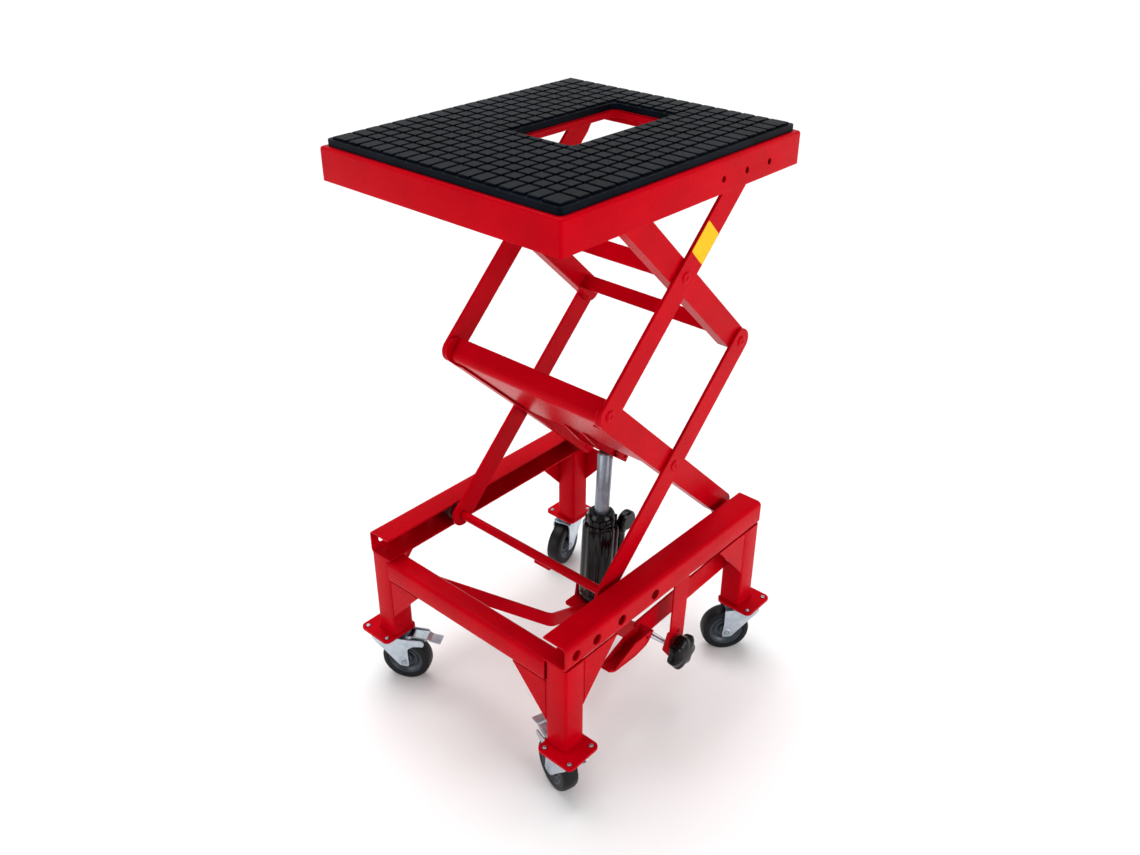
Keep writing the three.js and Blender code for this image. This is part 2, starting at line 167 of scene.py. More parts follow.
def finished(name, bm, body, material, replaces=(), soften=0.6, rounds=2):
    """Turns a bmesh in millimetres into a piece that rides on a body."""
    bmesh.ops.scale(bm, vec=(0.001, 0.001, 0.001), verts=bm.verts)
    mesh = bpy.data.meshes.new(name)
    bm.to_mesh(mesh)
    bm.free()
    mesh.shade_smooth()
    mesh.set_sharp_from_angle(angle=sharp_angle)
    mesh.materials.append(material)
    piece = bpy.data.objects.new(name, mesh)
    bpy.context.scene.collection.objects.link(piece)
    if soften:
        soften_edges(piece, soften / 1000, rounds)
    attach(piece, body)
    if replaces:
        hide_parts(*replaces)
    return piece


def folded(points, bend, thickness, length, bend_steps=4):
    """Sheet folded along a line of (u, v) corners, with its width along w."""
    bm = bmesh.new()
    verts = [bm.verts.new((u, v, 0)) for u, v in points]
    edges = [bm.edges.new(pair) for pair in zip(verts, verts[1:])]
    grown = bmesh.ops.extrude_edge_only(bm, edges=edges)["geom"]
    moved = [g for g in grown if isinstance(g, bmesh.types.BMVert)]
    bmesh.ops.translate(bm, verts=moved, vec=(0, 0, length))
    folds = [e for e in bm.edges if len(e.link_faces) == 2]
    bmesh.ops.bevel(bm, geom=folds, offset=bend, segments=bend_steps, profile=0.5,
                    affect="EDGES", material=-1)
    bmesh.ops.solidify(bm, geom=bm.faces[:], thickness=thickness)
    bmesh.ops.recalc_face_normals(bm, faces=bm.faces)
    return bm


def rod(radius, length, segments=24, tip=None):
    """A round bar along w from 0 to its length."""
    bm = bmesh.new()
    bmesh.ops.create_cone(bm, cap_ends=True, segments=segments, radius1=radius,
                          radius2=radius if tip is None else tip, depth=length,
                          matrix=Matrix.Translation((0, 0, length / 2)))
    return bm


def drill(piece, bits):
    """Cuts round holes right through a piece with loose cutters."""
    bm = bmesh.new()
    for bit, place in bits:
        put(bm, bit, place)
    bmesh.ops.scale(bm, vec=(0.001, 0.001, 0.001), verts=bm.verts)
    mesh = bpy.data.meshes.new("bits")
    bm.to_mesh(mesh)
    bm.free()
    cutter = bpy.data.objects.new("bits", mesh)
    bpy.context.scene.collection.objects.link(cutter)
    kept = [(m.width, m.segments) for m in piece.modifiers]
    piece.modifiers.clear()
    boolean = piece.modifiers.new("holes", "BOOLEAN")
    boolean.object = cutter
    boolean.solver = "EXACT"
    bpy.context.view_layer.update()
    graph = bpy.context.evaluated_depsgraph_get()
    cut_mesh = bpy.data.meshes.new_from_object(piece.evaluated_get(graph))
    piece.modifiers.clear()
    piece.data = cut_mesh
    cut_mesh.set_sharp_from_angle(angle=sharp_angle)
    bpy.data.objects.remove(cutter)
    for width, segments in kept:
        soften_edges(piece, width, segments)


rail_low, rail_high = box_mm("left_rail")
rail_sheet = 3
rail_bend = 7
lift_at = joint_at["lift"]
lock_hole_x = (-209, -167, -114, -40)
lock_hole_z = 264
for side, hand in ((1, "left"), (-1, "right")):
    outside, inside = side * rail_high.y, side * rail_low.y
    channel = [(inside, rail_low.z), (outside, rail_low.z),
               (outside, rail_high.z), (inside, rail_high.z)]
    if side > 0:
        channel.reverse()
    bm = bmesh.new()
    put(bm, folded(channel, rail_bend, rail_sheet, rail_high.x - rail_low.x, 5),
        facing("x", rail_low.x))
    put(bm, rod(12, 24, 28), facing("y", side * 171, side)
        @ Matrix.Translation((lift_at.x, lift_at.z, 0)))
    rail = finished(f"{hand}_rail", bm, "base_frame", red_enamel,
                    [f"{hand}_rail"], 0.5)
    drill(rail, [(rod(8, 20), facing("y", side * 190, side)
                  @ Matrix.Translation((x, lock_hole_z, 0))) for x in lock_hole_x])


# ---- legs ----
# Square tubes welded under the rails, each stiffened by two triangular gussets.
# Small weld beads run along the gusset seams and round the foot of each leg.
def blank(outline, corner, thickness, holes=(), corner_steps=6, hole_steps=24):
    """A flat blank with rounded corners and round holes given as (u, v, radius)."""
    bm = bmesh.new()
    bm.faces.new([bm.verts.new((u, v, 0)) for u, v in outline])
    if corner:
        bmesh.ops.bevel(bm, geom=bm.verts[:], offset=corner, segments=corner_steps,
                        profile=0.5, affect="VERTICES", material=-1)
    if holes:
        bmesh.ops.delete(bm, geom=bm.faces[:], context="FACES_ONLY")
        for u, v, radius in holes:
            bmesh.ops.create_circle(bm, segments=hole_steps, radius=radius,
                                    matrix=Matrix.Translation((u, v, 0)))
        bmesh.ops.triangle_fill(bm, edges=bm.edges[:], use_beauty=True, use_dissolve=False)
    grown = bmesh.ops.extrude_face_region(bm, geom=bm.faces[:])["geom"]
    top = [g for g in grown if isinstance(g, bmesh.types.BMVert)]
    bmesh.ops.translate(bm, verts=top, vec=(0, 0, thickness))
    bmesh.ops.recalc_face_normals(bm, faces=bm.faces)
    return bm


def weld_bead(start, end, radius=1.7, pitch=2.6):
    """A row of overlapping ripples from one point to another."""
    bm = bmesh.new()
    start, end = Vector(start), Vector(end)
    along = end - start
    count = max(2, round(along.length / pitch))
    for i in range(count + 1):
        size = radius * (1 + 0.12 * math.sin(i * 2.4))
        bmesh.ops.create_icosphere(bm, subdivisions=1, radius=size,
                                   matrix=Matrix.Translation(start + along * (i / count)))
    return bm


def square_tube(size, wall, corner, length):
    """A square tube along w with rounded outside corners."""
    bm = bmesh.new()
    bmesh.ops.create_cube(bm, size=size, matrix=Matrix.Translation((0, 0, size / 2)))
    bmesh.ops.scale(bm, vec=(1, 1, length / size), verts=bm.verts)
    ends = [f for f in bm.faces if abs(f.normal.z) > 0.5]
    bmesh.ops.delete(bm, geom=ends, context="FACES_ONLY")
    corners_along = [e for e in bm.edges if len(e.link_faces) == 2]
    bmesh.ops.bevel(bm, geom=corners_along, offset=corner, segments=4, profile=0.5,
                    affect="EDGES", material=-1)
    bmesh.ops.recalc_face_normals(bm, faces=bm.faces)
    bmesh.ops.solidify(bm, geom=bm.faces[:], thickness=wall)
    bmesh.ops.recalc_face_normals(bm, faces=bm.faces)
    return bm


leg_size = 38
leg_wall = 3
leg_corner = 5
weld_gap = 0.3
pad_low, pad_high = box_mm("front_left_pad")
foot_z = pad_high.z
leg_top = rail_low.z - weld_gap
crossbar_low, crossbar_high = box_mm("front_crossbar")
corners = {"front_left": (-1, 1), "front_right": (-1, -1),
           "rear_left": (1, 1), "rear_right": (1, -1)}
for corner_name, (sx, sy) in corners.items():
    out_x, out_y = sx * rail_high.x, sy * rail_high.y
    in_x, in_y = out_x - sx * leg_size, out_y - sy * leg_size
    middle = ((out_x + in_x) / 2, (out_y + in_y) / 2)
    bm = bmesh.new()
    put(bm, square_tube(leg_size, leg_wall, leg_corner, leg_top - foot_z - weld_gap),
        Matrix.Translation((*middle, foot_z + weld_gap)))
    long_gusset = [(in_x + sx * 3, leg_top), (in_x - sx * 71, leg_top),
                   (in_x - sx * 66, leg_top - 4), (in_x + sx * 3, leg_top - 82)]
    put(bm, blank(long_gusset, 1.5, 3), facing("y", out_y - sy * 0.4, -sy))
    cross_top = crossbar_low.z - weld_gap if sx < 0 else leg_top
    cross_gusset = [(in_y + sy * 3, cross_top), (in_y - sy * 63, cross_top),
                    (in_y - sy * 58, cross_top - 5), (in_y + sy * 3, cross_top - 74)]
    cross_x = out_x + 0.4 if sx < 0 else out_x - 3.2
    put(bm, blank(cross_gusset, 1.5, 2.8), facing("x", cross_x, -sx))
    seam_y = out_y - sy * 0.6
    put(bm, weld_bead((in_x, seam_y, leg_top - 76), (in_x, seam_y, leg_top - 2), 1.3))
    put(bm, weld_bead((cross_x, in_y, cross_top - 68), (cross_x, in_y, cross_top - 2), 1.3))
    ring = [(out_x, out_y), (in_x, out_y), (in_x, in_y), (out_x, in_y), (out_x, out_y)]
    for (ax, ay), (bx, by) in zip(ring, ring[1:]):
        put(bm, weld_bead((ax, ay, foot_z + 1), (bx, by, foot_z + 1), 1.6))
    finished(f"{corner_name}_leg", bm, "base_frame", red_enamel,
             [f"{corner_name}_leg"], 0.5)


# ---- caster pads ----
# Square plates with rounded corners, welded to the legs; the casters bolt up to them.
# Zinc-plated bolts with hexagon nuts come up through three free corners.

# bright zinc plating on pressed steel, slightly blue and cloudy
zinc_plating = surface("zinc_plating", ("#AEBBC6", "#C6D0D8"), (0.24, 0.4), 1.6, 0.004, 14,
                       Metallic=1.0)


def hex_nut(across, height, bore):
    """A hexagon nut with the rounded end of its bolt standing up through it."""
    bm = bmesh.new()
    radius = across / 1.732
    bmesh.ops.create_cone(bm, cap_ends=True, segments=6, radius1=radius,
                          radius2=radius, depth=height,
                          matrix=Matrix.Translation((0, 0, height / 2)))
    rim = [e for e in bm.edges if abs(e.verts[0].co.z - e.verts[1].co.z) < 0.01]
    bmesh.ops.bevel(bm, geom=rim, offset=height * 0.12, segments=1, profile=0.5,
                    affect="EDGES", material=-1)
    bmesh.ops.create_cone(bm, cap_ends=True, segments=16, radius1=bore, radius2=bore * 0.8,
                          depth=height * 1.5, matrix=Matrix.Translation((0, 0, height * 0.75)))
    return bm


half_pad = (pad_high.x - pad_low.x) / 2
pad_reach = 23
pad_sheet = 4.6
ring_signs = ((-1, -1), (1, -1), (1, 1), (-1, 1))
for corner_name, (sx, sy) in corners.items():
    swivel_at = joint_at[f"{corner_name}_swivel_turn"]
    px, py = swivel_at.x, swivel_at.y
    free = [(px + sx * pad_reach, py + sy * pad_reach), (px + sx * pad_reach, py - sy * pad_reach),
            (px - sx * pad_reach, py + sy * pad_reach)]
    square = [(px + half_pad * u, py + half_pad * v) for u, v in ring_signs]
    bm = bmesh.new()
    put(bm, blank(square, 9, pad_sheet, [(x, y, 4.2) for x, y in free]),
        facing("z", foot_z - pad_sheet))
    finished(f"{corner_name}_pad", bm, "base_frame", red_enamel,
             [f"{corner_name}_pad"], 0.7)
    bm = bmesh.new()
    inner = [(px + (half_pad - 3) * u, py + (half_pad - 3) * v) for u, v in ring_signs]
    put(bm, blank(inner, 8, 2.6), facing("z", foot_z - 7.5))
    for x, y in free:
        put(bm, rod(3, 7), Matrix.Translation((x, y, foot_z - 6)))
        put(bm, hex_nut(6.4, 2.2, 2.2), Matrix.Translation((x, y, foot_z - 1.4)))
    finished(f"{corner_name}_caster_plate", bm, "base_frame", zinc_plating,
             (), 0.3)


# ---- cross members ----
# A folded box bar joins the front legs and a slotted plate closes the rear of the rails.
# Both are welded in place, so a bead shows at each end.
bm = bmesh.new()
bar_width = crossbar_high.x - crossbar_low.x
bar_height = crossbar_high.z - crossbar_low.z
bar = square_tube(bar_height, 3, 7, crossbar_high.y - crossbar_low.y)
bmesh.ops.scale(bar, vec=(bar_width / bar_height, 1, 1), verts=bar.verts)
turned = Matrix(((1, 0, 0), (0, 0, 1), (0, -1, 0))).to_4x4()
centre = (crossbar_low + crossbar_high) / 2
put(bm, bar, Matrix.Translation((centre.x, crossbar_low.y, centre.z)) @ turned)
for side in (1, -1):
    y = side * (crossbar_high.y - 0.5)
    seam_x, seam_z = crossbar_low.x + 1, crossbar_high.z - 1
    put(bm, weld_bead((crossbar_low.x + 3, y, seam_z), (crossbar_high.x - 3, y, seam_z), 1.3))
    put(bm, weld_bead((seam_x, y, crossbar_low.z + 3), (seam_x, y, crossbar_high.z - 4), 1.3))
finished("front_crossbar", bm, "base_frame", red_enamel, ["front_crossbar"], 0.4)

bm = bmesh.new()
low, high = box_mm("rear_crossmember")
slots = [(-57 + dy, z, 2.4) for z in (227, 240) for dy in (-4.2, 0, 4.2)]
plate = [(low.y, low.z), (high.y, low.z), (high.y, high.z), (low.y, high.z)]
put(bm, blank(plate, 2, high.x - low.x), facing("x", low.x))
for side in (1, -1):
    y = side * (high.y - 0.5)
    put(bm, weld_bead((low.x, y, low.z + 34), (low.x, y, high.z - 2), 1.1))
member = finished("rear_crossmember", bm, "base_frame", red_enamel,
                  ["rear_crossmember"], 0.3)
drill(member, [(rod(r, 12, 16), facing("x", low.x - 4) @ Matrix.Translation((y, z, 0)))
               for y, z, r in slots])


# ---- jack cradle ----
# Flat bars on edge, bent and welded, carry the folded saddle that the jack stands in.
# A long punched bracket hangs from the right rail and steadies the release rod.
def bent_bar(points, height, thickness, bend=7):
    """A flat bar standing on edge along a line of (x, y, z) points on its middle."""
    bm = bmesh.new()
    low_row = [bm.verts.new((x, y, z - height / 2)) for x, y, z in points]
    edges = [bm.edges.new(pair) for pair in zip(low_row, low_row[1:])]
    grown = bmesh.ops.extrude_edge_only(bm, edges=edges)["geom"]
    moved = [g for g in grown if isinstance(g, bmesh.types.BMVert)]
    bmesh.ops.translate(bm, verts=moved, vec=(0, 0, height))
    folds = [e for e in bm.edges if len(e.link_faces) == 2]
    bmesh.ops.bevel(bm, geom=folds, offset=bend, segments=4, profile=0.5,
                    affect="EDGES", material=-1)
    bmesh.ops.solidify(bm, geom=bm.faces[:], thickness=thickness)
    return bm


strap_sheet = 4
straps = {
    "front_cradle_strap": (25, [(-196.5, 84, 227), (-72, -26, 140), (24, -10, 93)]),
    "side_cradle_strap": (38, [(191, -166, 182), (-40, -166, 172), (22, -23, 97)]),
}
for name, (bar_height, points) in straps.items():
    bm = bmesh.new()
    put(bm, bent_bar(points, bar_height, strap_sheet))
    x, y, z = points[0]
    put(bm, weld_bead((x, y - 2.4, z - 11), (x, y - 2.4, z + 11), 1.5))
    finished(name, bm, "base_frame", red_enamel, [name], 0.6)

bm = bmesh.new()
low, high = box_mm("jack_saddle")
floor_plate = [(low.x, low.y), (high.x, low.y), (high.x, high.y), (low.x, high.y)]
foot = joint_at["jack_tilt"]
put(bm, blank(floor_plate, 5, 4), facing("z", low.z))
for side in (1, -1):
    ear = [(foot.x - 17, low.z + 1), (foot.x + 17, low.z + 1),
           (foot.x + 12, high.z), (foot.x - 12, high.z)]
    put(bm, blank(ear, 5, 3.8), facing("y", side * 30.1, side))
    put(bm, hex_nut(10, 4, 3.4), facing("y", side * 33.8, side)
        @ Matrix.Translation((foot.x, foot.z, -3.6)))
finished("jack_saddle", bm, "base_frame", red_enamel, ["jack_saddle"], 0.5)

knob_at = joint_at["release_turn"]
bm = bmesh.new()
low, high = box_mm("release_bracket")
bracket = [(14, high.z), (50, high.z), (42, low.z), (8, low.z), (10, 150)]
bracket_holes = [(knob_at.x, knob_at.z, 6.2), (30, 150, 3)]
put(bm, blank(bracket, 3, 2.8, bracket_holes), facing("y", low.y + 0.1))
flange = [(low.y + 1, 158), (low.y + 1, low.z + 1), (low.y + 13, low.z + 6), (low.y + 5, 157)]
put(bm, blank(flange, 1.5, 2.6), facing("x", 8.4))
finished("release_bracket", bm, "base_frame", red_enamel,
         ["release_bracket"], 0.5)


# ---- scissor arms ----
# Round-ended flat bars; the inner ones have a stiffening flange folded along the lower edge.
# They turn on stub pins whose heads show as small domes with a pressed centre.
low_z, top_z = joint_at["lift"].z, joint_at["deck_pivot"].z
mid_z = joint_at["rear_middle"].z
rear_x = joint_at["lift"].x
centre_x = joint_at["lower_centre"].x
front_x = 2 * centre_x - rear_x
arm_half = 19
arm_sheet = 5
inner_y = 138
outer_y = 143.3
stub_end = 187.5
deck_stub_end = 198
levels = (low_z, mid_z, top_z)
slope = math.atan2(mid_z - low_z, rear_x - front_x)
arm_length = math.hypot(mid_z - low_z, rear_x - front_x)


def arm_blank(start, end, half, end_half, thickness):
    """A round-ended bar between two pivots; its far end can be narrower."""
    bm = bmesh.new()
    run = math.hypot(end[0] - start[0], end[1] - start[1])
    angle = math.atan2(end[1] - start[1], end[0] - start[0])
    bmesh.ops.create_circle(bm, segments=40, radius=half, cap_ends=True)
    far = [v for v in bm.verts if v.co.x > 0.01]
    bmesh.ops.translate(bm, verts=far, vec=(run, 0, 0))
    if end_half < half:
        for v in far:
            v.co = Vector((run + (v.co.x - run) * end_half / half, v.co.y * end_half / half, 0))
        tops = [e for e in bm.edges if e.calc_length() > run / 2]
        cuts = bmesh.ops.subdivide_edges(bm, edges=tops, cuts=1)["geom_inner"]
        for v in [g for g in cuts if isinstance(g, bmesh.types.BMVert)]:
            v.co.x = run - 30
            v.co.y = math.copysign(half, v.co.y)
    bmesh.ops.rotate(bm, cent=(0, 0, 0), matrix=Matrix.Rotation(angle, 3, "Z"), verts=bm.verts)
    bmesh.ops.translate(bm, verts=bm.verts, vec=(start[0], start[1], 0))
    grown = bmesh.ops.extrude_face_region(bm, geom=bm.faces[:])["geom"]
    top = [g for g in grown if isinstance(g, bmesh.types.BMVert)]
    bmesh.ops.translate(bm, verts=top, vec=(0, 0, thickness))
    return bm


def pivot_head(radius, height):
    """A low dome with a dimple pressed in its middle."""
    bm = bmesh.new()
    profile = [(0, height * 0.45), (radius * 0.3, height * 0.5), (radius * 0.45, height * 0.95),
               (radius * 0.7, height), (radius, height * 0.4), (radius, -1), (0, -1)]
    verts = [bm.verts.new((r, 0, z)) for r, z in profile]
    edges = [bm.edges.new(pair) for pair in zip(verts, verts[1:])]
    bmesh.ops.spin(bm, geom=verts + edges, cent=(0, 0, 0), axis=(0, 0, 1), angle=2 * math.pi,
                   steps=24, use_merge=True, use_duplicate=False)
    bmesh.ops.remove_doubles(bm, verts=bm.verts, dist=0.01)
    return bm


def along_inner(stage, s, y, t):
    """Places a part on an inner arm, s along it from the front pivot and t up from its middle."""
    turn = Matrix.Rotation(slope, 4, "Y")
    start = Matrix.Translation((front_x, 0, levels[stage + 1]))
    return start @ turn @ Matrix.Translation((s, y, t))


inner_bodies = ("lower_inner_frame", "upper_inner_frame")
outer_bodies = ("lower_outer_frame", "upper_outer_frame")
for side, hand in ((1, "left"), (-1, "right")):
    for stage, word in ((0, "lower"), (1, "upper")):
        front_up = (front_x, levels[stage + 1])
        rear_down = (rear_x, levels[stage])
        front_down = (front_x, levels[stage])
        rear_up = (rear_x, levels[stage + 1])
        crossing = (centre_x, (levels[stage] + levels[stage + 1]) / 2)

        bm = bmesh.new()
        put(bm, arm_blank(front_up, rear_down, arm_half, arm_half, arm_sheet),
            facing("y", side * inner_y, side))
        flange = bmesh.new()
        bmesh.ops.create_cube(flange, size=1)
        bmesh.ops.scale(flange, vec=(arm_length - 26, 18, 2.5), verts=flange.verts)
        put(bm, flange, along_inner(stage, arm_length / 2, side * (inner_y - 6.5), -arm_half + 1.3))
        pin_x, pin_z = rear_down if stage == 0 else front_up
        pin_end = rail_high.y - rail_sheet - 0.6 if stage == 0 else stub_end
        put(bm, rod(8, pin_end - inner_y - 2), facing("y", side * (inner_y + 2), side)
            @ Matrix.Translation((pin_x, pin_z, 0)))
        put(bm, pivot_head(10, 3), facing("y", side * (inner_y + 0.2), -side)
            @ Matrix.Translation((pin_x, pin_z, 0)))
        finished(f"{word}_inner_arm_{hand}", bm, inner_bodies[stage], red_enamel,
                 [f"{word}_inner_arm_{hand}"], 0.7)

        bm = bmesh.new()
        far_half = arm_half if stage == 0 else 12.2
        put(bm, arm_blank(front_down, rear_up, arm_half, far_half, arm_sheet),
            facing("y", side * outer_y, side))
        heads = (crossing, rear_up) if stage == 0 else (crossing, front_down)
        for x, z in heads:
            put(bm, pivot_head(8.5, 1.9), facing("y", side * (outer_y + arm_sheet), side)
                @ Matrix.Translation((x, z, 0)))
            put(bm, rod(6.8, 6), facing("y", side * (inner_y + 0.6), side)
                @ Matrix.Translation((x, z, 0)))
        pin_x, pin_z = front_down if stage == 0 else rear_up
        pin_end = stub_end if stage == 0 else deck_stub_end
        put(bm, rod(8, pin_end - outer_y - 2), facing("y", side * (outer_y + 2), side)
            @ Matrix.Translation((pin_x, pin_z, 0)))
        finished(f"{word}_outer_arm_{hand}", bm, outer_bodies[stage], red_enamel,
                 [f"{word}_outer_arm_{hand}"], 0.7)


# ---- lower cross panel, tie bars and jack clevis ----
# A sheet folded up along its front edge ties the lower inner arms together over half their length.
# Two tabs under it hold the pin that the jack pushes on; flat bars and a round bar tie the others.
panel_half = inner_y - 0.4
bm = bmesh.new()
sheet_line = [(-3.8, 17.8), (-3.8, -12.8), (196, -12.8)]
place = along_inner(0, 0, panel_half, 0) @ Matrix(((1, 0, 0), (0, 0, -1), (0, 1, 0))).to_4x4()
put(bm, folded(sheet_line, 9, 2.8, 2 * panel_half, 6), place)
for side in (1, -1):
    for s in (8, 120):
        start, end = (along_inner(0, reach, side * (panel_half - 0.8), -9.6).to_translation()
                      for reach in (s, s + 60))
        put(bm, weld_bead(start, end, 1.6))
finished("lower_cross_panel", bm, "lower_inner_frame", red_enamel,
         ["lower_cross_panel"], 0.5)

pin_x, pin_z = 84, 370
bm = bmesh.new()
tab = [(pin_x - 74, pin_z + 64), (pin_x - 74, pin_z + 74.6), (pin_x - 41.4, pin_z + 42.8),
       (pin_x + 4, pin_z + 12), (pin_x + 34, pin_z - 18), (pin_x + 26, pin_z - 29.6),
       (pin_x + 4, pin_z - 12), (pin_x - 44, pin_z + 28)]
for side in (1, -1):
    put(bm, blank(tab, 2.5, 3.8, [(pin_x + 24, pin_z - 18, 3)]), facing("y", side * 16.1, side))
    put(bm, hex_nut(13, 2, 3), facing("y", side * 19.5, side)
        @ Matrix.Translation((pin_x, pin_z, 0)))
put(bm, rod(6, 43), facing("y", -21.5) @ Matrix.Translation((pin_x, pin_z, 0)))
finished("jack_clevis", bm, "lower_inner_frame", red_enamel, ["jack_clevis"], 0.4)

bm = bmesh.new()
rod_half = outer_y - 0.4
put(bm, rod(7, 2 * rod_half, 28), facing("y", -rod_half)
    @ Matrix.Translation((front_x, low_z, 0)))
lug = [(front_x - 3, low_z - 12.8), (front_x + 3, low_z - 12.8),
       (front_x + 3, low_z), (front_x - 3, low_z)]
put(bm, blank(lug, 0, 30), facing("y", -42))
finished("lower_tie_rod", bm, "lower_outer_frame", red_enamel,
         ["lower_tie_rod"], 0.6)

tie_sheet, tie_top = 2.8, 13
for name, s, tie_foot in (("upper_rear_tie", arm_length - 28.5, -10),
                          ("upper_middle_tie", 197.5, -12)):
    bm = bmesh.new()
    bar = bmesh.new()
    bmesh.ops.create_cube(bar, size=1)
    bmesh.ops.scale(bar, vec=(tie_sheet, 2 * panel_half, tie_top - tie_foot), verts=bar.verts)
    put(bm, bar, along_inner(1, s, 0, (tie_top + tie_foot) / 2))
    for side in (1, -1):
        start, end = (along_inner(1, s - 1.4, side * (panel_half - 0.5), t).to_translation()
                      for t in (tie_foot + 3, tie_top - 3))
        put(bm, weld_bead(start, end, 1.4))
    finished(name, bm, "upper_inner_frame", red_enamel, [name], 0.5)


# ---- rollers ----
# Turned nylon rollers on the sliding ends of the arms, with a chamfer at each face.
# Their dark red-brown is painted shade, standing in for the shadow of the rails and deck that cover
# them.

# nylon painted a dull dark red-brown as shade from the rails and deck above, faintly turned
nylon_with_painted_shade = surface("nylon_with_painted_shade", ("#3A0509", "#4A070C"), (0.45, 0.6), 0.9, 0.01, 20)


def turned_ring(profile, steps=40):
    """A closed ring turned round w from (radius, w) corners."""
    bm = bmesh.new()
    verts = [bm.verts.new((r, 0, w)) for r, w in profile]
    edges = [bm.edges.new(pair) for pair in zip(verts, verts[1:])]
    if profile[0][0] > 0.01:
        edges.append(bm.edges.new((verts[-1], verts[0])))
    bmesh.ops.spin(bm, geom=verts + edges, cent=(0, 0, 0), axis=(0, 0, 1), angle=2 * math.pi,
                   steps=steps, use_merge=True, use_duplicate=False)
    bmesh.ops.remove_doubles(bm, verts=bm.verts, dist=0.001)
    bmesh.ops.recalc_face_normals(bm, faces=bm.faces)
    return bm


roller_ring = [(8.3, 0), (12.8, 0), (14.4, 1.6), (14.4, 22.2), (12.8, 23.8), (8.3, 23.8)]
for side, hand in ((1, "left"), (-1, "right")):
    for where, z in (("base", low_z), ("deck", top_z)):
        bm = bmesh.new()
        put(bm, turned_ring(roller_ring), facing("y", side * 160.1, side)
            @ Matrix.Translation((front_x, z, 0)))
        name = f"{where}_roller_{hand}"
        finished(name, bm, f"{name}_wheel", nylon_with_painted_shade, [name], 0)


# ---- hydraulic jack ----
# A cast and ribbed pump barrel in gloss black with a notched gland nut, and a ground steel ram.
# The pump tube and its round knuckle stand beside it, towards the foot pedal.

# gloss black enamel over a casting
black_enamel = surface("black_enamel", ("#020203", "#050608"), (0.14, 0.2), 2.0, 0.004, 40,
                       Specular_IOR_Level=0.22, Coat_Weight=0.05, Coat_Roughness=0.06)
# hard-chromed steel, ground to a satin finish
chrome = surface("ground_chrome", ("#7E8792", "#8D96A1"), (0.3, 0.38), 0.8, 0.002, 12,
                 Metallic=0.85)
ram_direction = Vector(next(j["axis"] for j in frame["joints"] if j["name"] == "ram_slide"))
lean = math.atan2(ram_direction.x, ram_direction.z)
jack_place = Matrix.Translation(foot) @ Matrix.Rotation(lean, 4, "Y")


def fluted_barrel(radius, groove, flutes, low, high):
    """A barrel with vertical ribs, drawn in a little at both ends."""
    bm = bmesh.new()
    ring = bmesh.ops.create_circle(bm, segments=flutes * 4, radius=radius, cap_ends=True)["verts"]
    for i, v in enumerate(ring):
        if i % 4 in (0, 1):
            v.co *= (radius - groove) / radius
    bmesh.ops.translate(bm, verts=bm.verts, vec=(0, 0, low))
    face = bm.faces[:]
    for height, size in ((3, 1.06), (high - low - 8, 1.0), (5, 0.9)):
        grown = bmesh.ops.extrude_face_region(bm, geom=face)["geom"]
        moved = [g for g in grown if isinstance(g, bmesh.types.BMVert)]
        bmesh.ops.translate(bm, verts=moved, vec=(0, 0, height))
        bmesh.ops.scale(bm, vec=(size, size, 1), verts=moved)
        if height > 3:
            inside_faces = [f for f in face if f.is_valid]
            bmesh.ops.delete(bm, geom=inside_faces, context="FACES_ONLY")
        face = [g for g in grown if isinstance(g, bmesh.types.BMFace)]
    bmesh.ops.recalc_face_normals(bm, faces=bm.faces)
    return bm


bm = bmesh.new()
put(bm, fluted_barrel(28.4, 2.2, 10, 2, 136), jack_place)
base_ring = [(0, -13.8), (24.5, -13.8), (27.6, -10), (28.6, -2), (28.6, 3), (27, 5), (0, 5)]
put(bm, turned_ring(base_ring, 48), jack_place)
gland_ring = [(12.4, 134), (23.6, 134), (24, 140), (23.6, 149), (21.6, 152), (20, 155.6),
              (14, 155.8), (12.4, 154)]
put(bm, turned_ring(gland_ring, 48), jack_place)
gland_lugs = 8
lug = [(-3.2, -2.4), (3.2, -2.4), (3.2, 2.4), (-3.2, 2.4)]
for i in range(gland_lugs):
    angle = Matrix.Rotation(i * 2 * math.pi / gland_lugs, 4, "Z")
    put(bm, blank(lug, 0.8, 11), jack_place @ angle @ Matrix.Translation((22.6, 0, 138)))
pump_x, pump_y = 34, -14
put(bm, rod(8.6, 88, 28), jack_place @ Matrix.Translation((pump_x, pump_y, 29)))
pump_collar = [(0, 0), (8.8, 0), (10.2, 3), (10.2, 9), (8, 12), (0, 12)]
put(bm, turned_ring(pump_collar, 32), jack_place @ Matrix.Translation((pump_x, pump_y, 108)))
cap = [(0, -7.6), (14, -7.6), (17, -5), (17.4, 0), (17, 5), (14, 7.6), (7, 7.8), (6, 6), (0, 6)]
put(bm, turned_ring(cap, 36), jack_place @ facing("y", -22) @ Matrix.Translation((38, 132, 0)))
finished("jack_body", bm, "jack_barrel", black_enamel, ["jack_body"], 0.5)

bm = bmesh.new()
ram_top = math.hypot(pin_x - foot.x, pin_z - foot.z) - 6.4
ram_ring = [(0, ram_top - 159.6), (11, ram_top - 159.6), (11.9, ram_top - 158), (11.9, ram_top - 5),
            (11.2, ram_top - 4), (11.2, ram_top - 1), (10, ram_top), (0, ram_top)]
put(bm, turned_ring(ram_ring, 48), jack_place)
finished("jack_ram", bm, "jack_piston", chrome, ["jack_ram"], 0)


# ---- release knob ----
# A moulded black hand knob with seven lobes and a domed face, on a tapered zinc-plated rod.
# Turning it opens the jack's valve and lets the deck down.

